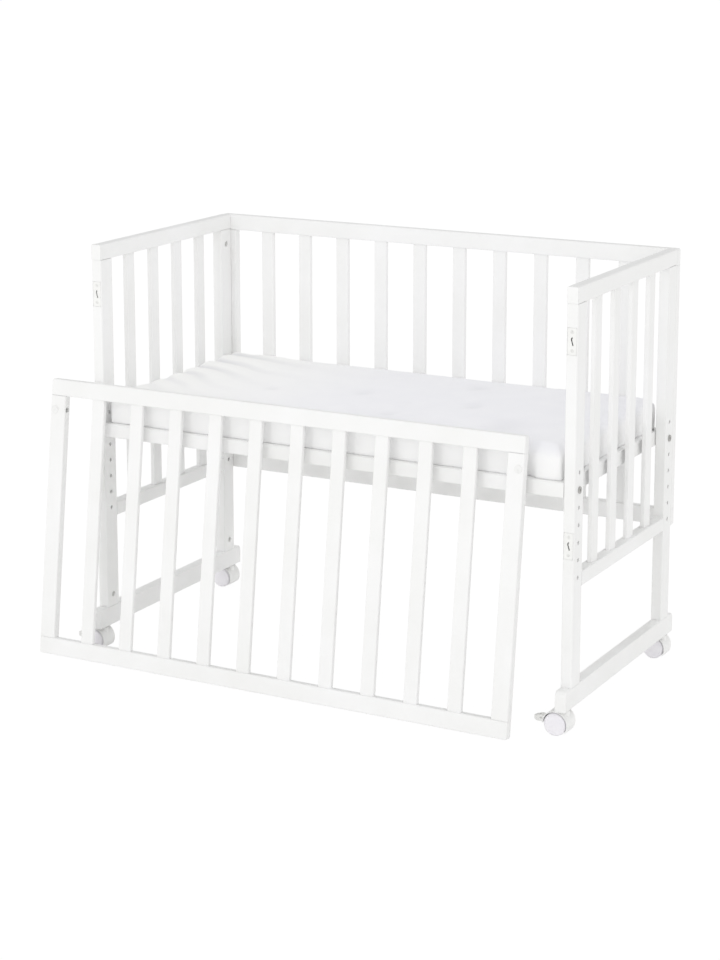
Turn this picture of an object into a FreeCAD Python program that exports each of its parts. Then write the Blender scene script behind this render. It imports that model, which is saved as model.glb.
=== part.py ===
# Bedside sleeper crib: a slatted wooden cot with one side open towards the adult bed.
# The loose front grille leans against the open side. Millimetres, Z up, floor at z = 0.
import FreeCAD, Part
import math
import os
import re

os.makedirs("parts", exist_ok=True)

SIZES = {
    # bed as a whole, outer face to outer face
    "bed_length": 950, "frame_depth": 448, "bed_height": 760, "edge_round": 2,
    # end frames
    "post_thickness": 20, "post_depth": 36, "top_rail_height": 28,
    "lower_rail_level": 250, "lower_rail_height": 25,
    "foot_level": 45, "foot_height": 36, "foot_overhang": 24, "foot_end_round": 9,
    "end_slat_count": 4,
    # slats of the end frames and of both grilles, housed in mortises
    "slat_width": 26, "slat_thickness": 9, "mortise_depth": 8, "mortise_slack": 0.1,
    # both grilles
    "grille_thickness": 16, "stile_width": 31,
    "grille_top_height": 30, "grille_bottom_height": 31, "grille_corner": 4,
    "grille_slat_count": 10, "fixing_inset": 10, "upper_fixing_drop": 56, "lower_fixing": 94,
    # how the front grille leans on the left end frame
    "lean_angle": 7, "lean_shift": 82, "lean_gap": 0.3,
    # bolts, barrel nuts and the row of height holes
    "bolt_shank": 6, "bolt_hole": 7, "bolt_head": 12, "bolt_head_height": 2,
    "socket_width": 4, "socket_depth": 1.4, "nut_diameter": 10, "nut_length": 14,
    "nut_hole": 10.2, "hole_pitch": 30, "hole_count": 7,
    "lowest_hole_rise": 19, "base_hole": 5, "foot_nut_rise": 22,
    "head_pocket": 14, "head_pocket_depth": 12,
    # hook plates let into the post fronts and into the back of the front grille
    "plate_width": 16, "plate_height": 45, "plate_thickness": 2, "plate_corner": 4,
    "plate_slack": 0.15, "hook_slot_width": 3, "hook_slot_length": 15, "hook_slot_tilt": 12,
    "hook_room": 9, "upper_plate_drop": 90, "lower_plate_rise": 76,
    "screw_spacing": 31, "screw_head": 5, "screw_shank": 3, "screw_length": 14,
    "hook_length": 9, "hook_thickness": 2.4, "hook_reach": 6,
    "cap_diameter": 14, "cap_height": 1.6, "cap_plug": 6.8, "cap_plug_length": 2.4,
    # height-adjustable base
    "base_rail_depth": 30, "base_rail_height": 26, "base_end_gap": 0.5, "base_setback": 1,
    "base_end_thickness": 20, "base_slat_count": 9, "base_slat_width": 45,
    "base_slat_thickness": 8, "base_slat_gap": 0.5, "ledger_width": 10, "ledger_height": 12,
    "base_nut_inset": 28,
    # mattress
    "mattress_end_gap": 5, "mattress_front_gap": 0.5, "mattress_back_gap": 2.5,
    "mattress_side": 48, "mattress_crown": 60, "mattress_corner": 28,
    # casters
    "trail": 12, "wheel_diameter": 40, "caster_width": 38,
    "web_thickness": 11, "wheel_gap": 0.5, "hood_inner": 21.6, "hood_outer": 22.9, "hood_inset": 1,
    "hood_start": -35, "hood_end": 178, "pin_diameter": 8, "axle_diameter": 5,
    "running_gap": 0.05, "flange_height": 2, "flange_diameter": 18, "sleeve_diameter": 11,
    "sleeve_length": 32, "pin_boss": 15, "pin_foot": 24, "wheel_dish": 14,
    "pedal_pivot_back": 29, "pedal_pivot_rise": 4, "pedal_pin": 3, "pedal_width": 14,
    "pedal_reach": 43, "pedal_corner": 5, "ear_thickness": 5, "ear_gap": 0.5,
    "disc_step": 0.6, "tread_width": 8.5,
}

doc = FreeCAD.newDocument("BedsideCrib")
sheet = doc.addObject("Spreadsheet::Sheet", "Sizes")
for row, (name, value) in enumerate(SIZES.items(), 1):
    sheet.set("A%d" % row, name)
    sheet.set("B%d" % row, str(value))
    sheet.setAlias("B%d" % row, name)
doc.recompute()


class Sizes:
    """The sheet's values, read back by name."""


s = Sizes()
for name in SIZES:
    setattr(s, name, float(sheet.get(name)))

vec = FreeCAD.Vector
X, Y, Z = (1, 0, 0), (0, 1, 0), (0, 0, 1)
AXES = {"x": X, "y": Y, "z": Z}
nodes = []


def bound(rule):
    """A rule in the sheet's own words, such as 'post_depth/2'."""
    return re.sub(r"[a-z][a-z_]+", lambda word: "Sizes." + word.group(0), str(rule))


# ---------------------------------------------------------------- levels and frames
half = s.bed_length / 2
post_front = -s.frame_depth / 2
foot_top = s.foot_level + s.foot_height
rail_level = s.bed_height - s.top_rail_height
post_line = half - s.post_thickness / 2
bolt_line = s.frame_depth / 2 - s.post_depth / 2
pin_line = s.frame_depth / 2
foot_length = s.frame_depth + 2 * s.foot_overhang
grille_height = s.bed_height - s.lower_rail_level
upper_fixing = grille_height - s.upper_fixing_drop
upper_plate = s.bed_height - s.upper_plate_drop
lower_plate = s.lower_rail_level + s.lower_plate_rise
foot_nut_level = foot_top + s.foot_nut_rise
lowest_hole = s.lower_rail_level + s.lowest_hole_rise
base_level = lowest_hole + s.base_hole * s.hole_pitch
lean = math.radians(s.lean_angle)
tilt = FreeCAD.Rotation(vec(*X), -s.lean_angle)
round_edge = s.edge_round
grille_x = -half - s.lean_shift
grille_y = (post_front - s.lean_gap - round_edge - (s.grille_thickness - round_edge) * math.cos(lean)
            - (grille_height - round_edge) * math.sin(lean))
grille_z = ((s.grille_thickness - round_edge) * math.sin(lean)
            - round_edge * math.cos(lean) + round_edge)
grille_front = grille_y - round_edge + round_edge * (math.cos(lean) + math.sin(lean))
# the origin is the middle of the whole thing as it stands, on the floor
middle = vec(-(grille_x + half + s.bolt_head_height) / 2, -(grille_front + foot_length / 2) / 2, 0)
BED = FreeCAD.Placement(middle, FreeCAD.Rotation())
BACK = FreeCAD.Placement(middle + vec(-half, s.frame_depth / 2, s.lower_rail_level),
                         FreeCAD.Rotation())
LEANING = FreeCAD.Placement(middle + vec(grille_x, grille_y, grille_z), tilt)


# ---------------------------------------------------------------- makers
def along(shape, axis):
    """Names of the straight edges that run along one axis, with their mid points."""
    found = []
    for number, edge in enumerate(shape.Edges, 1):
        if edge.Curve.TypeId == "Part::GeomLine" and abs(edge.tangentAt(edge.FirstParameter).dot(
                vec(*AXES[axis]))) > 0.99:
            found.append(("Edge%d" % number, edge.CenterOfMass))
    return found


def board(label, box, at, frame=BED, ends=None, ease="x", cuts=()):
    """One wooden member: block, rounded ends, eased long edges, then its holes."""
    body = doc.addObject("PartDesign::Body", label)
    body.Label = label
    tip = body.newObject("PartDesign::AdditiveBox", label + "_block")
    for side, rule in zip(("Length", "Width", "Height"), box):
        tip.setExpression(side, bound(rule))
    doc.recompute()
    rounds = [(ease, "edge_round", None)]
    if ends:
        rounds.insert(0, ends)
    for axis, radius, where in rounds:
        top = tip.Shape.BoundBox.ZMax
        chosen = [edge for edge, mid in along(tip.Shape, axis)
                  if where is None or (mid.z > top - 1 if where == "top" else mid.z < 1)]
        fillet = body.newObject("PartDesign::Fillet", label + "_rounding")
        fillet.Base = (tip, chosen)
        fillet.setExpression("Radius", bound(radius))
        doc.recompute()
        tip = fillet
    origin = {item.Role: item for item in body.Origin.OriginFeatures}
    for cut in cuts:
        kind, start, shape, repeat = (cut + (None,))[:4]
        if kind == "bore":
            direction, diameter, depth = shape
            tip = body.newObject("PartDesign::SubtractiveCylinder", label + "_bore")
            tip.setExpression("Radius", bound("(%s)/2" % diameter))
            tip.setExpression("Height", bound(depth))
            tip.Placement = FreeCAD.Placement(vec(*start), FreeCAD.Rotation(vec(*Z), vec(*direction)))
        else:
            tip = body.newObject("PartDesign::SubtractiveBox", label + "_pocket")
            for side, rule in zip(("Length", "Width", "Height"), shape):
                tip.setExpression(side, bound(rule))
            tip.Placement = FreeCAD.Placement(vec(*start), FreeCAD.Rotation())
        doc.recompute()
        if repeat:
            axis, count, length = repeat
            row_of = body.newObject("PartDesign::LinearPattern", label + "_row")
            row_of.Originals = [tip]
            row_of.Direction = (origin[axis.upper() + "_Axis"], [""])
            row_of.setExpression("Length", bound(length))
            row_of.setExpression("Occurrences", bound(count))
            tip = row_of
            doc.recompute()
        body.Tip = tip
    body.Tip = tip
    body.Placement = frame.multiply(FreeCAD.Placement(vec(*at), FreeCAD.Rotation()))
    doc.recompute()
    nodes.append(body)


def group(label, shapes, frame=BED):
    """One small piece, or like pieces kept together as separate solids."""
    piece = doc.addObject("Part::Feature", label)
    piece.Label = label
    piece.Shape = Part.makeCompound(shapes)
    piece.Placement = frame
    nodes.append(piece)


def rod(diameter, start, direction, length):
    """A round bar from a start point along a direction."""
    return Part.makeCylinder(diameter / 2, length, vec(*start), vec(*direction))


def slat(x, y, z, width, depth, length):
    """A slat with softened long edges; its larger face is the thinner side's neighbour."""
    bar = Part.makeBox(width, depth, length, vec(x, y, z))
    long_side = max(((width, "x"), (depth, "y"), (length, "z")))[1]
    edges = [edge for edge in bar.Edges
             if abs(edge.tangentAt(edge.FirstParameter).dot(vec(*AXES[long_side]))) > 0.99]
    return bar.makeFillet(s.edge_round, edges)


def bolt(x, y, z, direction, length):
    """A flat-head bolt with a hexagon socket; x, y, z is under its head."""
    way = vec(*direction)
    under = vec(x, y, z)
    head = Part.makeCylinder(s.bolt_head / 2, s.bolt_head_height, under - way * s.bolt_head_height, way)
    corners = []
    side = vec(*Z).cross(way) if abs(way.z) < 0.5 else vec(*X)
    for turn in range(7):
        spoke = FreeCAD.Rotation(way, 60 * turn).multVec(side)
        corners.append(under - way * s.bolt_head_height + spoke * (s.socket_width / math.sqrt(3)))
    socket = Part.Face(Part.makePolygon(corners)).extrude(way * s.socket_depth)
    return head.fuse(rod(s.bolt_shank, (x, y, z), direction, length)).cut(socket).removeSplitter()


def barrel_nut(x, y, z, axis, across):
    """A cross dowel lying along one axis with a threaded hole across it."""
    centre, way, hole = vec(x, y, z), vec(*axis), vec(*across)
    nut = Part.makeCylinder(s.nut_diameter / 2, s.nut_length, centre - way * (s.nut_length / 2), way)
    thread = Part.makeCylinder(s.bolt_shank / 2 + s.running_gap, s.nut_diameter * 2,
                               centre - hole * s.nut_diameter, hole)
    return nut.cut(thread)


def plate_blank(width, height, thickness, corner):
    """A flat plate with rounded corners: front at y = 0, depth along +Y."""
    blank = Part.makeBox(width, thickness, height, vec(-width / 2, 0, -height / 2))
    corners = [edge for edge in blank.Edges if abs(edge.tangentAt(edge.FirstParameter).y) > 0.99]
    return blank.makeFillet(corner, corners)


def slanting(width, length, start, depth, turn):
    """A slanting bar: cut from a plate it is the slot, added to one it is the hook."""
    bar = Part.makeBox(width, depth, length, vec(-width / 2, start, -length / 2))
    bar.rotate(vec(0, 0, 0), vec(*Y), turn)
    return bar


def turned(shape, x, y, z, half_turn=False):
    """A copy of a shape set at a point, facing the other way if asked."""
    copy = shape.copy()
    if half_turn:
        copy.rotate(vec(0, 0, 0), vec(*Z), 180)
    copy.translate(vec(x, y, z))
    return copy


# ---------------------------------------------------------------- end frames
# Each end: two posts on a foot beam, a top rail over the posts, a lower rail between them
# and four slats housed in the two rails.
gap_between_posts = s.frame_depth - 2 * s.post_depth
slat_space = (gap_between_posts - s.end_slat_count * s.slat_width) / (s.end_slat_count + 1)
slat_pitch = "(frame_depth - 2*post_depth + slat_width)/(end_slat_count + 1)"
slat_start = post_front + s.post_depth + slat_space
slack = s.mortise_slack
lowest = lowest_hole - foot_top
row_span = "(hole_count - 1)*hole_pitch"
slat_row = ("y", "end_slat_count", "(end_slat_count - 1)*" + slat_pitch)
mortise = ("slat_thickness + 2*mortise_slack", "slat_width + 2*mortise_slack",
           "mortise_depth + mortise_slack")
mortise_x = (s.post_thickness - s.slat_thickness) / 2 - slack

for side, sign in (("left", -1), ("right", 1)):
    outer_x = -half if sign < 0 else half - s.post_thickness
    inner_face = s.post_thickness if sign < 0 else 0
    nut_depth = "post_thickness/2 + nut_length/2 + mortise_slack"
    for end, depth_sign in (("front", -1), ("rear", 1)):
        start_y = post_front if depth_sign < 0 else -post_front - s.post_depth
        hole_y = depth_sign * bolt_line - start_y
        nut_bore = (sign, 0, 0)
        cuts = [
            ("bore", (-1, hole_y, lowest), (X, "bolt_hole", "post_thickness + 2"),
             ("z", "hole_count", row_span)),
            ("bore", (inner_face, hole_y, foot_nut_level - foot_top), (nut_bore, "nut_hole", nut_depth)),
            ("bore", (s.post_thickness / 2, hole_y, -1),
             (Z, "bolt_hole", "foot_nut_rise + nut_diameter + 1")),
        ]
        if end == "front":
            for level in (lower_plate, upper_plate):
                low = level - foot_top
                cuts.append(("pocket", (s.post_thickness / 2 - s.plate_width / 2 - s.plate_slack, -1,
                                        low - s.plate_height / 2 - s.plate_slack),
                             ("plate_width + 2*plate_slack", "plate_thickness + 1 + plate_slack",
                              "plate_height + 2*plate_slack")))
                cuts.append(("pocket", (s.post_thickness / 2 - 5, 0, low - s.hook_slot_length / 2 - 1),
                             ("10", "hook_room", "hook_slot_length + 2")))
                for offset in (-1, 1):
                    cuts.append(("bore", (s.post_thickness / 2, 0, low + offset * s.screw_spacing / 2),
                                 (Y, "screw_shank + 2*running_gap", "screw_length + 1")))
        else:
            for level in (s.lower_fixing, upper_fixing):
                low = s.lower_rail_level + level - foot_top
                cuts.append(("bore", (inner_face, hole_y, low), (nut_bore, "nut_hole", nut_depth)))
                cuts.append(("bore", (s.post_thickness / 2, s.post_depth + 1, low),
                             ((0, -1, 0), "bolt_hole", "post_depth - 8")))
        board("%s_%s_post" % (side, end),
              ("post_thickness", "post_depth", "bed_height - top_rail_height - foot_level - foot_height"),
              (outer_x, start_y, foot_top), ease="z", cuts=cuts)

    board("%s_top_rail" % side, ("post_thickness", "frame_depth", "top_rail_height"),
          (outer_x, post_front, rail_level), ease="y",
          cuts=[("pocket", (mortise_x, slat_start - post_front - slack, 0), mortise, slat_row)])
    board("%s_lower_rail" % side, ("post_thickness", "frame_depth - 2*post_depth", "lower_rail_height"),
          (outer_x, post_front + s.post_depth, s.lower_rail_level), ease="y",
          cuts=[("pocket", (mortise_x, slat_space - slack, s.lower_rail_height - s.mortise_depth - slack),
                 mortise, slat_row)])
    slat_low = s.lower_rail_level + s.lower_rail_height - s.mortise_depth
    group("%s_slats" % side,
          [slat(outer_x + mortise_x + slack, slat_start + number * (slat_space + s.slat_width), slat_low,
                s.slat_thickness, s.slat_width, rail_level + s.mortise_depth - slat_low)
           for number in range(int(s.end_slat_count))])

    # foot beam: bolted up into the posts from below, with a caster sleeve near each end
    middle_y = foot_length / 2
    beam_cuts = []
    for depth_sign in (-1, 1):
        beam_cuts += [
            ("bore", (s.post_thickness / 2, middle_y + depth_sign * bolt_line, -1),
             (Z, "head_pocket", "head_pocket_depth + 1")),
            ("bore", (s.post_thickness / 2, middle_y + depth_sign * bolt_line, 0),
             (Z, "bolt_hole", "foot_height + 1")),
            ("bore", (s.post_thickness / 2, middle_y + depth_sign * pin_line, -1),
             (Z, "sleeve_diameter + 2*mortise_slack", "sleeve_length + 1")),
        ]
    board("%s_foot_beam" % side, ("post_thickness", "frame_depth + 2*foot_overhang", "foot_height"),
          (outer_x, -middle_y, s.foot_level), ends=("x", "foot_end_round", "top"), ease="y",
          cuts=beam_cuts)


# ---------------------------------------------------------------- grilles
# The back grille and the loose front grille are the same panel: rails over and under the
# stiles, ten slats housed in the rails.
grille_space = ((s.bed_length - 2 * s.stile_width - s.grille_slat_count * s.slat_width)
                / (s.grille_slat_count + 1))
grille_pitch = "(bed_length - 2*stile_width + slat_width)/(grille_slat_count + 1)"
grille_row = ("x", "grille_slat_count", "(grille_slat_count - 1)*" + grille_pitch)
grille_mortise = ("slat_width + 2*mortise_slack", "slat_thickness + 2*mortise_slack",
                  "mortise_depth + mortise_slack")
mortise_y = (s.grille_thickness - s.slat_thickness) / 2 - slack
grille_top = grille_height - s.grille_top_height
first_slat = s.stile_width + grille_space

for panel, frame in (("back_grille", BACK), ("front_grille", LEANING)):
    board(panel + "_top_rail", ("bed_length", "grille_thickness", "grille_top_height"),
          (0, 0, grille_top), frame, ends=("y", "grille_corner", "top"), ease="x",
          cuts=[("pocket", (first_slat - slack, mortise_y, 0), grille_mortise, grille_row)])
    board(panel + "_bottom_rail", ("bed_length", "grille_thickness", "grille_bottom_height"),
          (0, 0, 0), frame, ends=("y", "grille_corner", "bottom"), ease="x",
          cuts=[("pocket", (first_slat - slack, mortise_y,
                            s.grille_bottom_height - s.mortise_depth - slack),
                 grille_mortise, grille_row)])
    for side in ("left", "right"):
        at_x = 0 if side == "left" else s.bed_length - s.stile_width
        fixing_x = s.fixing_inset if side == "left" else s.stile_width - s.fixing_inset
        low = s.grille_bottom_height
        cuts = [("bore", (fixing_x, -1, upper_fixing - low), (Y, "bolt_hole", "grille_thickness + 2"))]
        if panel == "back_grille":
            cuts.append(("bore", (fixing_x, -1, s.lower_fixing - low),
                         (Y, "bolt_hole", "grille_thickness + 2")))
        else:
            inner, way = (s.stile_width, (-1, 0, 0)) if side == "left" else (0, (1, 0, 0))
            cuts.append(("bore", (inner, s.grille_thickness / 2, upper_fixing - low),
                         (way, "nut_hole", "stile_width - fixing_inset + nut_length/2 + mortise_slack")))
            for level in (lower_plate, upper_plate):
                at_z = level - s.lower_rail_level - low
                cuts.append(("pocket", (fixing_x - s.plate_width / 2 - s.plate_slack,
                                        s.grille_thickness - s.plate_thickness - s.plate_slack,
                                        at_z - s.plate_height / 2 - s.plate_slack),
                             ("plate_width + 2*plate_slack", "plate_thickness + plate_slack + 1",
                              "plate_height + 2*plate_slack")))
                for offset in (-1, 1):
                    cuts.append(("bore", (fixing_x, s.grille_thickness,
                                          at_z + offset * s.screw_spacing / 2),
                                 ((0, -1, 0), "screw_shank + 2*running_gap", "screw_length - 3")))
        board("%s_%s_stile" % (panel, side),
              ("stile_width", "grille_thickness",
               "bed_height - lower_rail_level - grille_top_height - grille_bottom_height"),
              (at_x, 0, low), frame, ease="z", cuts=cuts)
    slat_low = s.grille_bottom_height - s.mortise_depth
    group(panel + "_slats",
          [slat(first_slat + number * (grille_space + s.slat_width), mortise_y + slack, slat_low,
                s.slat_width, s.slat_thickness, grille_top + s.mortise_depth - slat_low)
           for number in range(int(s.grille_slat_count))], frame)

fixings_x = (s.fixing_inset, s.bed_length - s.fixing_inset)
cap = rod(s.cap_diameter, (0, 0, 0), (0, -1, 0), s.cap_height)
cap = cap.makeFillet(s.cap_height / 2, [edge for edge in cap.Edges if edge.CenterOfMass.y < -s.cap_height / 2
                                        and edge.Closed])
cap = cap.fuse(rod(s.cap_plug, (0, 0, 0), Y, s.cap_plug_length)).removeSplitter()
group("front_grille_caps", [turned(cap, x, 0, upper_fixing) for x in fixings_x], LEANING)
group("front_grille_barrel_nuts",
      [barrel_nut(x, s.grille_thickness / 2, upper_fixing, X, Y) for x in fixings_x], LEANING)


# ---------------------------------------------------------------- fixings of the bed
back_y = s.frame_depth / 2 + s.grille_thickness
group("back_grille_bolts",
      [bolt(sign * post_line, back_y, s.lower_rail_level + level, (0, -1, 0),
            back_y - bolt_line + s.nut_diameter / 2)
       for sign in (-1, 1) for level in (s.lower_fixing, upper_fixing)])
group("foot_beam_bolts",
      [bolt(sign * post_line, depth_sign * bolt_line, s.foot_level + s.head_pocket_depth, Z,
            foot_nut_level - s.foot_level - s.head_pocket_depth + s.nut_diameter / 2)
       for sign in (-1, 1) for depth_sign in (-1, 1)])
group("barrel_nuts",
      [barrel_nut(sign * post_line, depth_sign * bolt_line, foot_nut_level, X, Z)
       for sign in (-1, 1) for depth_sign in (-1, 1)]
      + [barrel_nut(sign * post_line, bolt_line, s.lower_rail_level + level, X, Y)
         for sign in (-1, 1) for level in (s.lower_fixing, upper_fixing)])

# hook plates: a slanting slot between two countersunk screws
countersink = Part.makeCone(s.screw_head / 2, s.screw_shank / 2, 1.5, vec(0, 0, 0), vec(*Y))
screw = countersink.fuse(rod(s.screw_shank, (0, 0, 0), Y, s.screw_length))
for turn in (0, 90):
    cross = Part.makeBox(3, 0.8, 0.8, vec(-1.5, 0, -0.4))
    cross.rotate(vec(0, 0, 0), vec(*Y), turn)
    screw = screw.cut(cross)
plate = plate_blank(s.plate_width, s.plate_height, s.plate_thickness, s.plate_corner)
screw_seat = Part.makeCone(s.screw_head / 2 + s.running_gap, s.screw_shank / 2 + s.running_gap, 1.5,
                           vec(0, 0, 0), vec(*Y)).fuse(
    rod(s.screw_shank + 2 * s.running_gap, (0, 0, 0), Y, s.plate_thickness))
slotted = plate.cut(slanting(s.hook_slot_width, s.hook_slot_length, -1, s.plate_thickness + 2,
                             -s.hook_slot_tilt))
# a hook faces the other way, so it slants the other way on its own plate
hook = slanting(s.hook_thickness, s.hook_length, -s.hook_reach, s.hook_reach + s.plate_thickness / 2,
                s.hook_slot_tilt)
hooked = plate.fuse(hook)
for offset in (-1, 1):
    seat = turned(screw_seat, 0, 0, offset * s.screw_spacing / 2)
    slotted, hooked = slotted.cut(seat), hooked.cut(seat)
plate_levels = (lower_plate, upper_plate)
group("hook_plates", [turned(slotted, sign * post_line, post_front, level)
                      for sign in (-1, 1) for level in plate_levels])
group("hook_plate_screws", [turned(screw, sign * post_line, post_front, level + offset * s.screw_spacing / 2)
                            for sign in (-1, 1) for level in plate_levels for offset in (-1, 1)])
group("front_grille_hook_plates",
      [turned(hooked, x, s.grille_thickness, level - s.lower_rail_level, True)
       for x in fixings_x for level in plate_levels], LEANING)


# ---------------------------------------------------------------- base and mattress
base_half = half - s.post_thickness - s.base_end_gap
base_low = base_level - s.base_rail_height / 2
base_top = base_low + s.base_rail_height
rail_front = post_front + s.base_setback
rail_inner = -rail_front - s.base_rail_depth
end_inner = base_half - s.base_end_thickness
for end, start_y in (("front", rail_front), ("rear", rail_inner)):
    line_y = (-bolt_line if end == "front" else bolt_line) - start_y
    rail_length = "bed_length - 2*post_thickness - 2*base_end_gap"
    cuts = []
    for side in (0, 1):
        start_x, way = (-1, X) if side == 0 else (2 * base_half + 1, (-1, 0, 0))
        nut_x = s.base_nut_inset if side == 0 else 2 * base_half - s.base_nut_inset
        cuts += [("bore", (start_x, line_y, s.base_rail_height / 2),
                  (way, "bolt_hole", "base_nut_inset + nut_diameter + 1")),
                 ("bore", (nut_x, line_y, -1),
                  (Z, "nut_hole", "base_rail_height/2 + nut_length/2 + 1 + mortise_slack"))]
    board("base_%s_rail" % end, (rail_length, "base_rail_depth", "base_rail_height"),
          (-base_half, start_y, base_low), ease="x", cuts=cuts)
    ledger_y = rail_front + s.base_rail_depth if end == "front" else rail_inner - s.ledger_width
    board("base_%s_ledger" % end,
          ("bed_length - 2*post_thickness - 2*base_end_gap - 2*base_end_thickness",
           "ledger_width", "ledger_height"),
          (-end_inner, ledger_y, base_top - s.base_slat_thickness - s.ledger_height), ease="x")
for side, start_x in (("left", -base_half), ("right", end_inner)):
    board("base_%s_end_rail" % side,
          ("base_end_thickness", "frame_depth - 2*base_setback - 2*base_rail_depth", "base_rail_height"),
          (start_x, -rail_inner, base_low), ease="y")
base_space = (2 * end_inner - s.base_slat_count * s.base_slat_width) / (s.base_slat_count + 1)
slat_reach = rail_inner - s.base_slat_gap
group("base_slats",
      [slat(-end_inner + base_space + number * (base_space + s.base_slat_width), -slat_reach,
            base_top - s.base_slat_thickness, s.base_slat_width, 2 * slat_reach, s.base_slat_thickness)
       for number in range(int(s.base_slat_count))])
nut_at = base_half - s.base_nut_inset
group("base_barrel_nuts",
      [barrel_nut(sign * nut_at, depth_sign * bolt_line, base_level, Z, X)
       for sign in (-1, 1) for depth_sign in (-1, 1)])
group("base_bolts",
      [bolt(sign * half, depth_sign * bolt_line, base_level, (-sign, 0, 0),
            half - nut_at + s.nut_diameter / 2)
       for sign in (-1, 1) for depth_sign in (-1, 1)])


def outline(inset, level):
    """The mattress seen from above at one level: four sides joined by round corners."""
    x1 = half - s.post_thickness - s.mattress_end_gap - inset
    x0 = -x1
    y0 = post_front + s.mattress_front_gap + inset
    y1 = -post_front - s.mattress_back_gap - inset
    r = s.mattress_corner
    edges = []
    for cx, cy, first in ((x1 - r, y0 + r, -90), (x1 - r, y1 - r, 0), (x0 + r, y1 - r, 90),
                          (x0 + r, y0 + r, 180)):
        points = [vec(cx + r * math.cos(math.radians(first + turn)),
                      cy + r * math.sin(math.radians(first + turn)), level) for turn in (0, 45, 90)]
        edges.append((points, Part.Arc(*points).toShape()))
    wire = []
    for number, (points, arc) in enumerate(edges):
        following = edges[(number + 1) % 4][0][0]
        wire += [arc, Part.LineSegment(points[2], following).toShape()]
    return Part.Wire(wire)


# the mattress: tucked in under its lower edge, fullest low on its sides, crowned on top
side_rise, crown_rise = s.mattress_side, s.mattress_crown - s.mattress_side
shoulder = 20
half_width = (s.frame_depth - s.mattress_front_gap - s.mattress_back_gap) / 2
flat_at = 0.9 * (half_width - s.mattress_corner)
profile = [(8, 0), (2.5, 4), (0.5, 11), (0, 20), (1.4, 31), (5.5, 40), (12, side_rise - 2)]
for step in range(8):
    reach = shoulder + (flat_at - shoulder) * (step / 7) ** 1.6
    profile.append((reach, side_rise + crown_rise * math.sqrt(1 - (1 - reach / flat_at) ** 2)))
group("mattress", [Part.makeLoft([outline(inset, base_top + level) for inset, level in profile],
                                 True, True)])


# ---------------------------------------------------------------- casters
# Twin-wheel casters that trail towards the left end: hood with a middle web, upright pin,
# axle, two wheels; the front pair has a brake pedal. Local origin: middle of the axle.
wheel_r = s.wheel_diameter / 2
half_web = s.web_thickness / 2
wide = s.caster_width / 2
arc = s.hood_end - s.hood_start


def sector(radius, width, start, sweep):
    """A wedge of a cylinder about the axle, its angles seen from the front."""
    wedge = Part.makeCylinder(radius, width, vec(0, width / 2, 0), vec(0, -1, 0), sweep)
    # the wedge starts along one radius; turn that radius to the asked angle
    begin = wedge.CenterOfMass
    now = math.degrees(math.atan2(begin.z, begin.x))
    wedge.rotate(vec(0, 0, 0), vec(0, -1, 0), start + sweep / 2 - now)
    return wedge


def hood(braked):
    """Hood shell, middle web, boss for the upright pin and the pedal's ear."""
    hollow = rod(2 * s.hood_inner, (0, wide + 1, 0), (0, -1, 0), s.caster_width + 2)
    shape = sector(s.hood_outer, s.caster_width - 2 * s.hood_inset, s.hood_start, arc).cut(hollow)
    lip = s.hood_outer - s.hood_inner
    top = s.foot_level - s.flange_height - wheel_r - 0.3
    boss = rod(s.pin_boss, (s.trail, 0, s.hood_inner * 0.5), Z, top - s.hood_inner * 0.5).cut(hollow)
    web = rod(2 * s.hood_inner + lip, (0, half_web, 0), (0, -1, 0), s.web_thickness)
    web = web.cut(Part.makeBox(60, 60, 30, vec(-30, -30, -30 - 11)))
    shape = shape.fuse(boss).fuse(web)
    if braked:
        back, rise = -s.pedal_pivot_back, s.pedal_pivot_rise
        ear = Part.makeBox(s.pedal_pivot_back - s.hood_inner, s.ear_thickness, 8,
                           vec(back, -s.ear_thickness / 2, rise - 4))
        ear = ear.fuse(rod(8, (back, s.ear_thickness / 2, rise), (0, -1, 0), s.ear_thickness))
        shape = shape.fuse(ear).cut(rod(s.pedal_pin + 2 * s.running_gap, (back, wide, rise), (0, -1, 0),
                                        s.caster_width))
    shape = shape.cut(rod(s.axle_diameter + 2 * s.running_gap, (0, wide, 0), (0, -1, 0), s.caster_width))
    shape = shape.cut(rod(s.pin_diameter + 2 * s.running_gap, (s.trail, 0, s.pin_foot - wheel_r), Z, 40))
    return shape.removeSplitter()


def wheel():
    """One wheel: rounded tread, dished face, blind bore for the axle; inner side at y = 0."""
    w = wide - half_web - s.wheel_gap
    rim = wheel_r - s.disc_step
    corners = [(0, 0), (wheel_r - 1.5, 0), (wheel_r, 1.5), (wheel_r, s.tread_width - 0.5),
               (rim, s.tread_width), (rim, w - 2), (rim - 2, w), (s.wheel_dish + 1.5, w),
               (s.wheel_dish, w - 0.6), (0, w - 0.6)]
    face = Part.Face(Part.makePolygon([vec(r, y, 0) for r, y in corners + corners[:1]]))
    disc = face.revolve(vec(0, 0, 0), vec(*Y), 360)
    return disc.cut(rod(s.axle_diameter + 2 * s.running_gap, (0, -1, 0), Y, w - 2))


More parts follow.
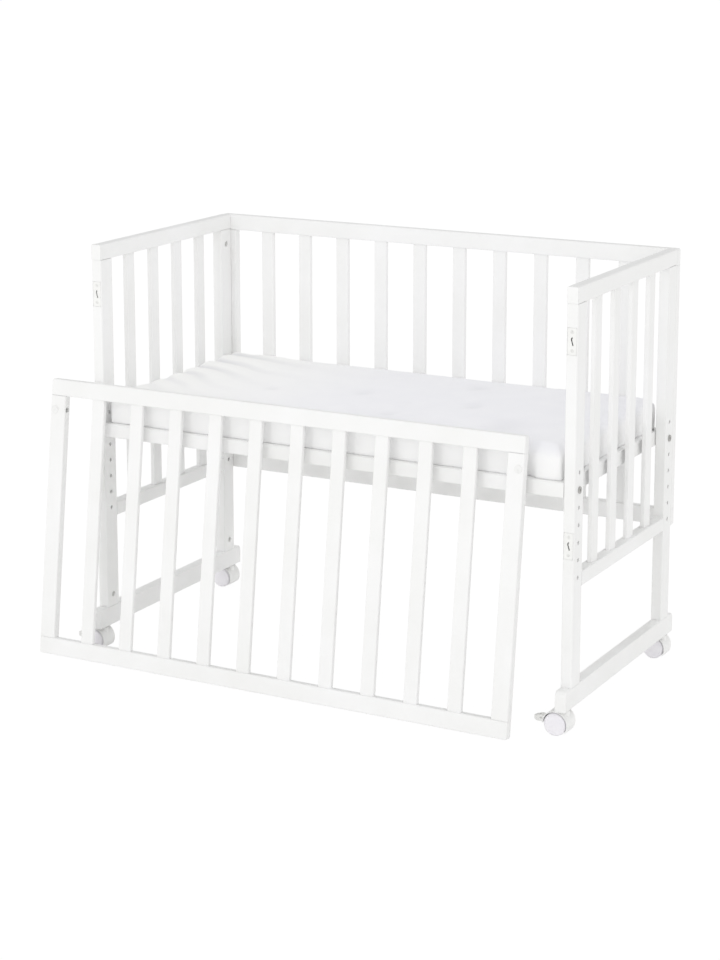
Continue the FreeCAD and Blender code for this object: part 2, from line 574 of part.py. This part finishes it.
def pedal():
    """Brake pedal: two arms about the ear and a tread that points away from the pin."""
    back, rise = -s.pedal_pivot_back, s.pedal_pivot_rise
    side = ((-24.6, -2), (-24.6, 8), (-30, 9), (-s.pedal_reach, 5.5), (-s.pedal_reach, 0.5), (-36, -2))
    face = Part.Face(Part.makePolygon([vec(x, s.pedal_width / 2, z) for x, z in side + side[:1]]))
    block = face.extrude(vec(0, -s.pedal_width, 0))
    tip = [edge for edge in block.Edges if abs(edge.tangentAt(edge.FirstParameter).z) > 0.99
           and edge.CenterOfMass.x < -s.pedal_reach + 1]
    block = block.makeFillet(s.pedal_corner, tip)
    notch_width = s.ear_thickness + 2 * s.ear_gap
    notch = Part.makeBox(14, notch_width, 40, vec(-34, -notch_width / 2, -20))
    bore = rod(s.pedal_pin + 2 * s.running_gap, (back, wide, rise), (0, -1, 0), s.caster_width)
    return block.cut(notch).cut(bore)


sleeves = []
one_wheel, one_pedal = wheel(), pedal()
for place, sign, depth_sign in (("front_left", -1, -1), ("front_right", 1, -1),
                                ("rear_left", -1, 1), ("rear_right", 1, 1)):
    pin_x, pin_y = sign * post_line, depth_sign * pin_line
    braked = depth_sign < 0
    axle_at = (pin_x - s.trail, pin_y, wheel_r)
    sleeve = rod(s.sleeve_diameter, (pin_x, pin_y, s.foot_level - s.flange_height), Z,
                 s.sleeve_length + s.flange_height - 1)
    sleeve = sleeve.fuse(rod(s.flange_diameter, (pin_x, pin_y, s.foot_level - s.flange_height), Z,
                             s.flange_height))
    sleeves.append(sleeve.cut(rod(s.pin_diameter + 2 * s.running_gap,
                                  (pin_x, pin_y, 0), Z, 200)))
    group("%s_caster_hood" % place, [turned(hood(braked), *axle_at)])
    pins = [rod(s.pin_diameter, (pin_x, pin_y, s.pin_foot + 0.1), Z, s.foot_level + 28 - s.pin_foot),
            rod(s.axle_diameter, (axle_at[0], pin_y + wide - 4, wheel_r), (0, -1, 0),
                s.caster_width - 8)]
    if braked:
        pins.append(rod(s.pedal_pin, (axle_at[0] - s.pedal_pivot_back, pin_y + s.pedal_width / 2 - 1,
                                      wheel_r + s.pedal_pivot_rise), (0, -1, 0), s.pedal_width - 2))
        group("%s_brake_pedal" % place, [turned(one_pedal, *axle_at)])
    group("%s_caster_pins" % place, pins)
    inner = half_web + s.wheel_gap
    group("%s_caster_rear_wheel" % place, [turned(one_wheel, axle_at[0], pin_y + inner, wheel_r)])
    group("%s_caster_front_wheel" % place,
          [turned(one_wheel, axle_at[0], pin_y - inner, wheel_r, True)])
group("caster_sleeves", sleeves)


# ---------------------------------------------------------------- check and write
doc.recompute()
faulty = [item.Name for item in doc.Objects if "Invalid" in item.State or "Error" in item.State]
if faulty:
    raise RuntimeError("faulty objects: %s" % faulty)
for node in nodes:
    shape = node.Shape
    if shape.isNull() or not shape.isValid() or not shape.Solids or shape.Volume <= 0:
        raise RuntimeError("bad shape: " + node.Label)
    shape.exportStep("parts/%s.step" % node.Label)
print(len(nodes), "pieces, origin shift", middle)
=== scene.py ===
"""Bedside sleeper crib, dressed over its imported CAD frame.

White lacquered wood all round, a cot mattress on slats, a loose front grille
that leans on the left post, and four twin-wheel casters.
"""
import math

import bpy
import bmesh
import numpy as np
from mathutils import Matrix, Vector, noise


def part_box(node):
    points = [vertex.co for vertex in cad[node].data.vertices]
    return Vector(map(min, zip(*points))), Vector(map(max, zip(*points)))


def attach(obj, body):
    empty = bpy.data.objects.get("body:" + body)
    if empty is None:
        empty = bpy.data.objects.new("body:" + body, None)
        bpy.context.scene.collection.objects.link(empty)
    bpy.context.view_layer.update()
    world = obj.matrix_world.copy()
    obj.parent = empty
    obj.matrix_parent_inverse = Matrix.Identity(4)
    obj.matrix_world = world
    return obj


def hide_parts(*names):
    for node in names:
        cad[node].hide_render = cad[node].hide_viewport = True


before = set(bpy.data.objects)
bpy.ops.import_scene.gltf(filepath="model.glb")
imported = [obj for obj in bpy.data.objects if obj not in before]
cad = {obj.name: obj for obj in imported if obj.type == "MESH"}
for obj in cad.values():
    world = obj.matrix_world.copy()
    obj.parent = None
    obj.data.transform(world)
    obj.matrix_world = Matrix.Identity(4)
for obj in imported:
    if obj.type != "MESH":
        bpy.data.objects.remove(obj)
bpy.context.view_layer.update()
bpy.ops.object.select_all(action="DESELECT")


# ------------------------------------------------------------------ wooden members
# Posts, rails, stiles, slats and beams are solid beech, planed, with the arrises eased,
# and sprayed with two coats of satin white lacquer. The grain shows through only as
# faint long ripples, and the spray leaves a fine orange peel.
def linear(colour):
    """An sRGB hex colour as the linear RGBA that the shaders take."""
    parts = [int(colour[i:i + 2], 16) / 255 for i in (1, 3, 5)]
    return [p / 12.92 if p <= 0.04045 else ((p + 0.055) / 1.055) ** 2.4 for p in parts] + [1.0]


def add(tree, kind, settings=(), links=()):
    """A node of one kind, with its settings and its incoming links."""
    node = tree.nodes.new(kind)
    for name, value in dict(settings).items():
        if hasattr(node, str(name)):
            setattr(node, name, value)
        else:
            node.inputs[name].default_value = value
    for name, socket in dict(links).items():
        tree.links.new(socket, node.inputs[name])
    return node


def two_tones(tree, value, colours, end=0.65):
    """A colour that goes from the first to the second as a value rises from 0.35 to the end."""
    ramp = add(tree, "ShaderNodeValToRGB", {}, {"Fac": value})
    for stop, position, colour in zip(ramp.color_ramp.elements, (0.35, end), colours):
        stop.position, stop.color = position, linear(colour)
    return ramp.outputs["Color"]


def lacquered_wood(name, grain):
    """Sprayed white lacquer over planed beech whose grain runs along one axis."""
    skin = bpy.data.materials.new(name)
    skin.use_nodes = True
    tree = skin.node_tree
    tree.nodes.clear()
    place = add(tree, "ShaderNodeTexCoord").outputs["Object"]
    # beech pores are 1 to 2 mm apart; drawn at 2.2 mm so that they read at all
    across_grain, along_grain = 450.0, 14.0
    stretch = [across_grain, across_grain, across_grain]
    stretch["xyz".index(grain)] = along_grain
    ripples = add(tree, "ShaderNodeMapping", {"Scale": stretch}, {"Vector": place})
    pores = add(tree, "ShaderNodeTexNoise", {"Scale": 1.0, "Detail": 3.0, "Roughness": 0.6},
                {"Vector": ripples.outputs["Vector"]})
    # the peel is 1.3 mm from hump to hump, the tone drifts over 110 mm
    peel = add(tree, "ShaderNodeTexNoise", {"Scale": 800.0, "Detail": 2.0}, {"Vector": place})
    drift = add(tree, "ShaderNodeTexNoise", {"Scale": 9.0, "Detail": 3.0}, {"Vector": place})
    tone = two_tones(tree, drift.outputs["Fac"], ("#F4F4F3", "#F8F8F8"), 0.7)
    sheen = add(tree, "ShaderNodeMapRange", {"To Min": 0.34, "To Max": 0.46},
                {"Value": drift.outputs["Fac"]})
    soft = add(tree, "ShaderNodeBevel", {"samples": 4, "Radius": 0.0012})
    grainy = add(tree, "ShaderNodeBump", {"Strength": 0.10, "Distance": 0.0004},
                 {"Height": pores.outputs["Fac"], "Normal": soft.outputs["Normal"]})
    peeled = add(tree, "ShaderNodeBump", {"Strength": 0.06, "Distance": 0.0003},
                 {"Height": peel.outputs["Fac"], "Normal": grainy.outputs["Normal"]})
    coat = add(tree, "ShaderNodeBsdfPrincipled", {"IOR": 1.5},
               {"Base Color": tone, "Roughness": sheen.outputs["Result"],
                "Normal": peeled.outputs["Normal"]})
    add(tree, "ShaderNodeOutputMaterial", {}, {"Surface": coat.outputs["BSDF"]})
    return skin


def dress(node, material):
    """Puts one material on a CAD node or a finished piece."""
    node.data.materials.clear()
    node.data.materials.append(material)


def dress_all(*rows):
    """Puts each row's material on the CAD nodes with its endings; the first fit counts."""
    for name, node in cad.items():
        for endings, material in rows:
            if name.endswith(endings):
                dress(node, material)
                break


standing = ("_post", "_stile", "left_slats", "right_slats", "grille_slats")
across_bed = ("_foot_beam", "_end_rail", "left_top_rail", "right_top_rail", "_lower_rail",
              "base_slats")
along_bed = ("_top_rail", "_bottom_rail", "_front_rail", "_rear_rail", "_ledger")
dress_all((standing, lacquered_wood("white_lacquer_upright", "z")),
          (across_bed, lacquered_wood("white_lacquer_crosswise", "y")),
          (along_bed, lacquered_wood("white_lacquer_lengthwise", "x")))


# ------------------------------------------------------------------ metal fittings
# Hook plates: sheet steel with a white enamel, rounded corners, a slot like a flat S
# and two countersunk screws, let in flush with the fronts of the front posts. Bolts,
# cross dowels and the casters' pins and sleeves are turned steel with a dull zinc coat.
def plain_skin(name, colours, roughness, metallic=0.0, coat=0.0):
    """A moulded, enamelled or plated skin: two close tones, a little grit, soft arrises."""
    grit, depth = 900.0, 0.00012
    skin = bpy.data.materials.new(name)
    skin.use_nodes = True
    tree = skin.node_tree
    tree.nodes.clear()
    place = add(tree, "ShaderNodeTexCoord").outputs["Object"]
    cloud = add(tree, "ShaderNodeTexNoise", {"Scale": 60.0, "Detail": 3.0}, {"Vector": place})
    fine = add(tree, "ShaderNodeTexNoise", {"Scale": grit, "Detail": 2.0}, {"Vector": place})
    gloss = add(tree, "ShaderNodeMapRange",
                {"To Min": roughness - 0.05, "To Max": roughness + 0.07},
                {"Value": cloud.outputs["Fac"]})
    soft = add(tree, "ShaderNodeBevel", {"samples": 4, "Radius": 0.0004})
    bumps = add(tree, "ShaderNodeBump", {"Strength": 0.12, "Distance": depth},
                {"Height": fine.outputs["Fac"], "Normal": soft.outputs["Normal"]})
    shell = add(tree, "ShaderNodeBsdfPrincipled", {"Metallic": metallic, "Coat Weight": coat},
                {"Base Color": two_tones(tree, cloud.outputs["Fac"], colours),
                 "Roughness": gloss.outputs["Result"], "Normal": bumps.outputs["Normal"]})
    add(tree, "ShaderNodeOutputMaterial", {}, {"Surface": shell.outputs["BSDF"]})
    return skin


dark_zinc = plain_skin("dull_zinc", ("#B2B1AE", "#C2C1BE"), 0.45, metallic=0.5)
bright_zinc = plain_skin("bright_zinc", ("#CBCBC9", "#D8D8D6"), 0.34, metallic=0.4)
enamel = plain_skin("white_enamel", ("#F1F1EF", "#F6F6F4"), 0.30, coat=0.3)
dress_all(("_bolts", dark_zinc), (("barrel_nuts", "caster_sleeves", "_caster_pins"), bright_zinc),
          (("hook_plate_screws", "hook_plates"), enamel))

plates_low, plates_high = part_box("hook_plates")
plate_wide, plate_thick, plate_tall, plate_corner = 0.016, 0.002, 0.045, 0.0015
screw_rise, head_radius, shank_radius, cone_depth = 0.0155, 0.0027, 0.0016, 0.0022
plate_face = plates_low.y
plate_columns = (plates_low.x + plate_wide / 2, plates_high.x - plate_wide / 2)
plate_rows = (plates_low.z + plate_tall / 2, plates_high.z - plate_tall / 2)

bpy.ops.mesh.primitive_cube_add(size=1, location=(0, plate_thick / 2, 0))
plate = bpy.context.active_object
bpy.ops.transform.resize(value=(plate_wide, plate_thick, plate_tall))
bpy.ops.object.transform_apply(location=True, rotation=True, scale=True)
bpy.ops.object.mode_set(mode="EDIT")
shape = bmesh.from_edit_mesh(plate.data)
for edge in shape.edges:
    a, b = (v.co for v in edge.verts)
    edge.select_set(abs(a.x - b.x) < 1e-6 and abs(a.z - b.z) < 1e-6)
bmesh.update_edit_mesh(plate.data)
bpy.ops.mesh.bevel(offset=plate_corner, segments=4, affect="EDGES")
bpy.ops.object.mode_set(mode="OBJECT")
# the slot: a flat S pressed out of the sheet; its tube is stretched to pass right through
slot_radius, through = 0.0012, 5
slot_course = ((0.0010, 0.0062), (-0.0022, 0.0052), (-0.0018, 0.0016),
               (0.0012, -0.0030), (0.0014, -0.0072))
bpy.ops.object.select_all(action="DESELECT")
bpy.ops.curve.primitive_nurbs_path_add(location=(0, 0, 0))
slot_line = bpy.context.active_object
line = slot_line.data.splines[0]
for point, (x, z) in zip(line.points, slot_course):
    point.co = (x, 0, z, 1)
line.use_endpoint_u = True
slot_line.data.bevel_depth = slot_radius
slot_line.data.bevel_resolution = 3
slot_line.data.use_fill_caps = True
bpy.ops.object.convert(target="MESH")
slot_line.scale = (1, through, 1)
slot_line.location.y = plate_thick / 2
bpy.ops.object.transform_apply(location=True, rotation=True, scale=True)
tools = [slot_line]
for z in (-screw_rise, screw_rise):
    bpy.ops.mesh.primitive_cone_add(vertices=32, radius1=head_radius, radius2=shank_radius,
                                    depth=cone_depth, location=(0, plate_thick / 2, z),
                                    rotation=(math.radians(-90), 0, 0))
    tools.append(bpy.context.active_object)
for tool in tools:
    cut = plate.modifiers.new("opening", "BOOLEAN")
    cut.operation, cut.solver, cut.object = "DIFFERENCE", "EXACT", tool
    bpy.context.view_layer.objects.active = plate
    bpy.ops.object.modifier_apply(modifier=cut.name)
    bpy.data.objects.remove(tool)
bpy.ops.object.select_all(action="DESELECT")
plates = []
for x in plate_columns:
    for z in plate_rows:
        one = plate.copy()
        one.data = plate.data.copy()
        bpy.context.collection.objects.link(one)
        one.data.transform(Matrix.Translation((x, plate_face, z)))
        one.select_set(True)
        plates.append(one)
bpy.data.objects.remove(plate)
bpy.context.view_layer.objects.active = plates[0]
bpy.ops.object.join()
hook_plates = plates[0]
hook_plates.name = "enamelled_hook_plates"
dress(hook_plates, enamel)
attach(hook_plates, "bed")
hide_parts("hook_plates")


# ------------------------------------------------------------------ casters and caps
# Injection-moulded white nylon: hoods, wheel discs, pedals and the caps over the bolt
# holes. The moulds leave a fine even texture and a soft gloss.
dress_all(("_caster_hood", plain_skin("moulded_hood_nylon", ("#F3F3F2", "#F8F8F7"), 0.36)),
          ("_wheel", plain_skin("moulded_wheel_nylon", ("#F3F1F6", "#F8F6FA"), 0.42)),
          ("_brake_pedal", plain_skin("moulded_pedal_nylon", ("#ECECEA", "#F2F2F0"), 0.40)),
          ("_caps", plain_skin("moulded_cap_nylon", ("#EFEFEE", "#F5F5F4"), 0.28)))


# ------------------------------------------------------------------ mattress
# A foam cot pad in a fitted cotton cover: it fills the frame from end to end, is crowned
# on top, gathered at the rear left corner, dimpled by its quilting, and has a full corner
# with a tuck beside it at the front right.
pad_low, pad_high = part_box("mattress")
end_play, front_swell, rear_swell = 0.0040, 0.0020, 0.0008
left_x, right_x = pad_low.x - end_play, pad_high.x + end_play
front_y, rear_y = pad_low.y - front_swell, pad_high.y + rear_swell
start_low = Vector((left_x + 0.002, front_y + 0.003, pad_low.z + 0.0006))
start_high = Vector((right_x - 0.002, rear_y - 0.003, pad_high.z - 0.011))
bpy.ops.object.select_all(action="DESELECT")
bpy.ops.mesh.primitive_cube_add(size=1, location=(start_low + start_high) / 2)
mattress = bpy.context.active_object
mattress.name = "mattress_in_cover"
bpy.ops.transform.resize(value=tuple(start_high - start_low))
bpy.ops.object.transform_apply(location=True, rotation=True, scale=True)


def bevel_where(piece, test, width, steps):
    """Rounds the edges whose two ends pass a test."""
    bpy.ops.object.mode_set(mode="EDIT")
    shape = bmesh.from_edit_mesh(piece.data)
    for face in shape.faces:
        face.select_set(False)
    for edge in shape.edges:
        edge.select_set(test(edge.verts[0].co, edge.verts[1].co))
    bmesh.update_edit_mesh(piece.data)
    bpy.ops.mesh.bevel(offset=width, segments=steps, affect="EDGES")
    bpy.ops.object.mode_set(mode="OBJECT")


bevel_where(mattress, lambda p, q: abs(p.z - q.z) > 0.01, 0.012, 6)
bevel_where(mattress, lambda p, q: min(p.z, q.z) > start_high.z - 1e-5, 0.012, 5)
bevel_where(mattress, lambda p, q: max(p.z, q.z) < start_low.z + 1e-5, 0.004, 2)
voxel = 0.0058
mattress.data.remesh_voxel_size = voxel
bpy.ops.object.voxel_remesh()


def points_of(piece):
    """The vertices of a piece as an array."""
    found = np.empty(len(piece.data.vertices) * 3)
    piece.data.vertices.foreach_get("co", found)
    return found.reshape(-1, 3)


def set_points(piece, points):
    """Writes the vertices of a piece back."""
    piece.data.vertices.foreach_set("co", points.ravel())
    piece.data.update()


furthest_swell, swell_frames = 0.009, 20
before = points_of(mattress)
cloth = mattress.modifiers.new("swell", "CLOTH")
cloth.settings.quality = 5
cloth.settings.mass = 0.25
cloth.settings.use_pressure = True
cloth.settings.uniform_pressure_force = 4
cloth.settings.effector_weights.gravity = 0
cloth.settings.tension_stiffness = cloth.settings.compression_stiffness = 12
cloth.settings.bending_stiffness = 1.2
for step in range(1, swell_frames + 1):
    bpy.context.scene.frame_set(step)
bpy.context.view_layer.objects.active = mattress
bpy.ops.object.modifier_apply(modifier=cloth.name)
bpy.context.scene.frame_set(1)
moved = points_of(mattress) - before
far = np.linalg.norm(moved, axis=1, keepdims=True)
moved *= np.minimum(1.0, furthest_swell / np.maximum(far, 1e-9))
set_points(mattress, before + moved)
finer = mattress.modifiers.new("finer", "SUBSURF")
finer.levels = finer.render_levels = 1
bpy.context.view_layer.objects.active = mattress
bpy.ops.object.modifier_apply(modifier=finer.name)


def ripple(points, sizes, seed):
    """Smooth noise at each point, with its own size along each axis."""
    shift = Vector((seed, 0, 0))
    return np.array([noise.noise(Vector(point / sizes) + shift) for point in points])


pts = points_of(mattress)
rise = np.clip((pts[:, 2] - pad_low.z) / (start_high.z - pad_low.z), 0, 1)
on_top = np.clip((rise - 0.55) / 0.45, 0, 1)
u = np.clip((pts[:, 0] - left_x) / (right_x - left_x), 0, 1)
v = np.clip((pts[:, 1] - front_y) / (rear_y - front_y), 0, 1)
crown = np.clip(4 * u * (1 - u), 0, 1) ** 0.3 * np.clip(4 * v * (1 - v), 0, 1) ** 0.45
pts[:, 2] += 0.006 * crown * on_top
# gathers that fan out from beyond the rear left corner; their valleys get painted shade on the
# cloth
x_in, y_in = pts[:, 0] - left_x, rear_y - pts[:, 1]
fan, gather_apart, gather_rise = 0.40, 0.056, 0.0034
at_edge = (y_in + 0.06) * fan / (x_in + fan)
wander = ripple(pts, np.array([0.09, 0.09, 0.3]), 4.7)
near_left = np.exp(-(x_in / 0.15) ** 1.5)
fold = np.sin(2 * np.pi * at_edge / gather_apart + 1.5 * wander) * near_left
fold *= np.clip(1.5 - y_in / 0.30, 0, 1)
pts[:, 2] += gather_rise * fold * on_top
painted_valley_shade = 0.9 * np.clip(0.1 * near_left - fold, 0, 1) * on_top
# slow swells, fine puckers, and the dimples of the quilting
slow = ripple(pts, np.array([0.15, 0.10, 0.3]), 1.0)
small = ripple(pts, np.array([0.036, 0.030, 0.05]), 2.0)
pts[:, 2] += (0.0018 * slow + 0.0002 * small) * on_top
middle = (pad_low + pad_high) / 2
dimples = ((-0.026, -0.024, 0.017, 0.0034), (0.086, -0.140, 0.016, 0.0034),
           (0.193, -0.022, 0.018, 0.0034), (0.139, 0.116, 0.022, 0.0028),
           (-0.188, -0.070, 0.012, 0.0022), (0.308, -0.130, 0.036, 0.0036))
for x, y, wide, deep in dimples:
    apart = np.hypot((pts[:, 0] - middle.x - x), (pts[:, 1] - middle.y - y) * 0.8)
    dip = np.exp(-(apart / wide) ** 2) * on_top
    pts[:, 2] -= deep * dip
    # the dimples' hollows get painted shade too
    painted_valley_shade = np.maximum(painted_valley_shade, 0.38 * dip)
# sides: puckered a little, with a full corner and a tuck at the front right
in_front = np.clip(1 - (pts[:, 1] - front_y) / 0.03, 0, 1)
pts[:, 1] += 0.0012 * in_front * ripple(pts, np.array([0.045, 0.2, 0.03]), 3.0)
from_right = right_x - pts[:, 0]
height = pts[:, 2] - pad_low.z
oval = ((from_right - 0.036) / 0.027) ** 2 + ((height - 0.027) / 0.035) ** 2
beside = np.clip((0.098 - from_right) / 0.025, 0, 1) * in_front
pts[:, 1] += 0.0065 * beside / (1 + np.exp((1 - oval) * 5))
pts[:, 1] -= 0.0025 * beside * np.exp(-oval)
tuck = np.exp(-((from_right - 0.069 - 0.35 * height) / 0.008) ** 2)
tuck *= np.clip(1.1 - height / 0.035, 0, 1)
pts[:, 1] += 0.010 * tuck * in_front
pts[:, 2] -= 0.005 * beside * on_top
# the rear right corner is rounder in plan
corner_r = 0.040
out_x, out_y = pts[:, 0] - (right_x - corner_r), pts[:, 1] - (rear_y - corner_r)
far_out = np.hypot(out_x, out_y)
outside = (out_x > 0) & (out_y > 0) & (far_out > corner_r)
pull = np.where(outside, corner_r / np.maximum(far_out, 1e-9), 1.0)
pts[:, 0] = np.where(pull < 1, right_x - corner_r + out_x * pull, pts[:, 0])
pts[:, 1] = np.where(pull < 1, rear_y - corner_r + out_y * pull, pts[:, 1])
# the lower edge is pressed square on the rails
height = pts[:, 2] - pad_low.z
pts[:, 2] -= 0.0042 * np.exp(-(height / 0.009) ** 2)
# it presses against the end slats, rests on the rails and stays behind the leaning grille
pts[:, 0] = np.clip(pts[:, 0], left_x, right_x)
pts[:, 1] = np.clip(pts[:, 1], front_y - 0.0005, rear_y)
pts[:, 2] = np.clip(pts[:, 2], pad_low.z + 0.0003, pad_high.z + 0.005)
set_points(mattress, pts)
# the painted shade of the valleys is stored on the points for the cover's material
valley_shade_attribute = mattress.data.attributes.new("painted_valley_shade", "FLOAT", "POINT")
valley_shade_attribute.data.foreach_set("value", painted_valley_shade.astype(np.float32))
bpy.ops.object.select_all(action="DESELECT")
mattress.select_set(True)
bpy.context.view_layer.objects.active = mattress
bpy.ops.object.shade_smooth()

# plain-woven cotton, bleached: threads 0.5 mm apart, drawn at 1.5 mm so that they show
cotton = bpy.data.materials.new("bleached_cotton_cover")
cotton.use_nodes = True
tree = cotton.node_tree
tree.nodes.clear()
place = add(tree, "ShaderNodeTexCoord").outputs["Object"]
threads = [add(tree, "ShaderNodeTexWave",
               {"wave_type": "BANDS", "bands_direction": way, "Scale": 209.0,
                "Distortion": 0.6, "Detail": 1.0}, {"Vector": place}) for way in "XYZ"]
cross = add(tree, "ShaderNodeMath", {"operation": "ADD"},
            {0: threads[0].outputs["Fac"], 1: threads[1].outputs["Fac"]})
weave = add(tree, "ShaderNodeMath", {"operation": "ADD"},
            {0: cross.outputs[0], 1: threads[2].outputs["Fac"]})
wear = add(tree, "ShaderNodeTexNoise", {"Scale": 22.0, "Detail": 4.0}, {"Vector": place})
blotch = add(tree, "ShaderNodeTexNoise", {"Scale": 5.0, "Detail": 1.0}, {"Vector": place})
mixed = add(tree, "ShaderNodeMix", {"Factor": 0.45},
            {"A": wear.outputs["Fac"], "B": blotch.outputs["Fac"]})
# painted light and shade: the sides are painted lighter than the top, and the top greyer and
# cooler, greyer still away from the left end, where less light falls
where = add(tree, "ShaderNodeSeparateXYZ", {}, {"Vector": place})
shading_to_right = add(tree, "ShaderNodeMapRange", {"From Min": -0.30, "From Max": 0.02},
               {"Value": where.outputs["X"]})
shading_to_top = add(tree, "ShaderNodeMapRange", {"From Min": 0.468, "From Max": 0.484},
             {"Value": where.outputs["Z"]})
lit_side_tone, lit_left_top_tone, shaded_right_top_tone = (
    two_tones(tree, mixed.outputs["Result"], colours)
    for colours in (("#FAFAFA", "#FCFCFC"), ("#FCFCFB", "#FAFAF9"), ("#F5F5F8", "#F2F2F6")))


def blend(factor, first, second):
    """Two colours mixed by a factor socket."""
    node = add(tree, "ShaderNodeMix", {"data_type": "RGBA"}, {0: factor, 6: first, 7: second})
    return node.outputs[2]


shaded_top_tone = blend(shading_to_right.outputs["Result"], lit_left_top_tone, shaded_right_top_tone)
cover_tone_with_painted_shade = blend(shading_to_top.outputs["Result"], lit_side_tone, shaded_top_tone)
# painted shade: the valleys of the gathers and dimples are painted greyer than light and shape
# alone make them
shade = add(tree, "ShaderNodeRGB")
shade.outputs[0].default_value = linear("#DCDCE1")
valley_shade_reader = add(tree, "ShaderNodeAttribute", {"attribute_name": "painted_valley_shade"})
valley_shade_share = add(tree, "ShaderNodeMath", {"operation": "MULTIPLY", 1: 0.75},
                {0: valley_shade_reader.outputs["Fac"]})
cover_tone_with_painted_shade = blend(valley_shade_share.outputs[0], cover_tone_with_painted_shade, shade.outputs[0])
small_bump = add(tree, "ShaderNodeBump", {"Strength": 0.16, "Distance": 0.0003},
                 {"Height": weave.outputs[0]})
puckers = add(tree, "ShaderNodeBump", {"Strength": 0.06, "Distance": 0.0010},
              {"Height": wear.outputs["Fac"], "Normal": small_bump.outputs["Normal"]})
cloth_skin = add(tree, "ShaderNodeBsdfPrincipled",
                 {"Roughness": 0.88, "Sheen Weight": 0.2, "Sheen Roughness": 0.5,
                  "Specular IOR Level": 0.25},
                 {"Base Color": cover_tone_with_painted_shade, "Normal": puckers.outputs["Normal"]})
add(tree, "ShaderNodeOutputMaterial", {}, {"Surface": cloth_skin.outputs["BSDF"]})
dress(mattress, cotton)
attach(mattress, "mattress_pad")
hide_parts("mattress")


# ------------------------------------------------------------------ floor, light, camera
# A pale studio floor and sky, a small lamp in front that throws the shadows of the slats,
# a broad one beside the camera and a weak one at the right.
bpy.ops.mesh.primitive_plane_add(size=120, location=(0, 0, 0))
floor = bpy.context.active_object
floor.name = "studio_floor"
paper = bpy.data.materials.new("studio_paper")
paper.use_nodes = True
tree = paper.node_tree
tree.nodes.clear()
rays = add(tree, "ShaderNodeLightPath")
# what looks at the floor sees it almost white, what it lights gets the matt paper's light
seen = rays.outputs["Is Camera Ray"]
for kind in ("Is Glossy Ray", "Is Transmission Ray"):
    larger = add(tree, "ShaderNodeMath", {"operation": "MAXIMUM"}, {0: seen, 1: rays.outputs[kind]})
    seen = larger.outputs[0]
share = add(tree, "ShaderNodeMath", {"operation": "MULTIPLY", 1: 0.95}, {0: seen})
matt = add(tree, "ShaderNodeBsdfDiffuse", {"Color": linear("#FAFAF9")})
white = add(tree, "ShaderNodeEmission", {"Color": (1, 1, 1, 1), "Strength": 1.02})
both = add(tree, "ShaderNodeMixShader", {},
           {0: share.outputs[0], 1: matt.outputs[0], 2: white.outputs[0]})
add(tree, "ShaderNodeOutputMaterial", {}, {"Surface": both.outputs[0]})
dress(floor, paper)

world = bpy.data.worlds.new("studio")
bpy.context.scene.world = world
world.use_nodes = True
tree = world.node_tree
tree.nodes.clear()
rays = add(tree, "ShaderNodeLightPath")
fill = add(tree, "ShaderNodeBackground", {"Color": (1, 1, 1, 1), "Strength": 0.925})
# the studio behind the crib is darker than its lamps, which greys glancing reflections
dim = add(tree, "ShaderNodeBackground", {"Color": (1, 1, 1, 1), "Strength": 0.35})
plain = add(tree, "ShaderNodeBackground", {"Color": (1, 1, 1, 1), "Strength": 1.0})
lit = add(tree, "ShaderNodeMixShader", {},
          {0: rays.outputs["Is Glossy Ray"], 1: fill.outputs[0], 2: dim.outputs[0]})
sky = add(tree, "ShaderNodeMixShader", {},
          {0: rays.outputs["Is Camera Ray"], 1: lit.outputs[0], 2: plain.outputs[0]})
add(tree, "ShaderNodeOutputWorld", {}, {"Surface": sky.outputs[0]})

lamps = (("front_lamp", (-0.5, -4.1, 1.3), 0.4, 12.5), ("right_lamp", (4.3, -0.6, 1.5), 0.7, 4),
         ("camera_lamp", (1.4, -4.4, 2.0), 1.6, 7))
lit_point = Vector((0, 0, 0.4))
for name, place, size, power in lamps:
    bpy.ops.object.light_add(type="AREA", location=place)
    lamp = bpy.context.active_object
    lamp.name = name
    lamp.data.size = size
    lamp.data.energy = power
    lamp.rotation_euler = (lit_point - Vector(place)).to_track_quat("-Z", "Y").to_euler()

# the place, the turn and the focal length in pixels were fitted to the photo
look_down, turn = 11.08, 28.33
focal_pixels, photo_height, sensor = 2308, 960, 36
bpy.ops.object.camera_add(location=(1.942, -3.586, 1.397))
camera = bpy.context.active_object
camera.rotation_euler = (math.radians(90 - look_down), 0, math.radians(turn))
camera.data.sensor_fit = "AUTO"
camera.data.sensor_width = sensor
camera.data.lens = focal_pixels / photo_height * sensor
camera.data.shift_y = -0.15
camera.data.clip_end = 200
bpy.context.scene.camera = camera
bpy.context.scene.view_settings.view_transform = "Standard"
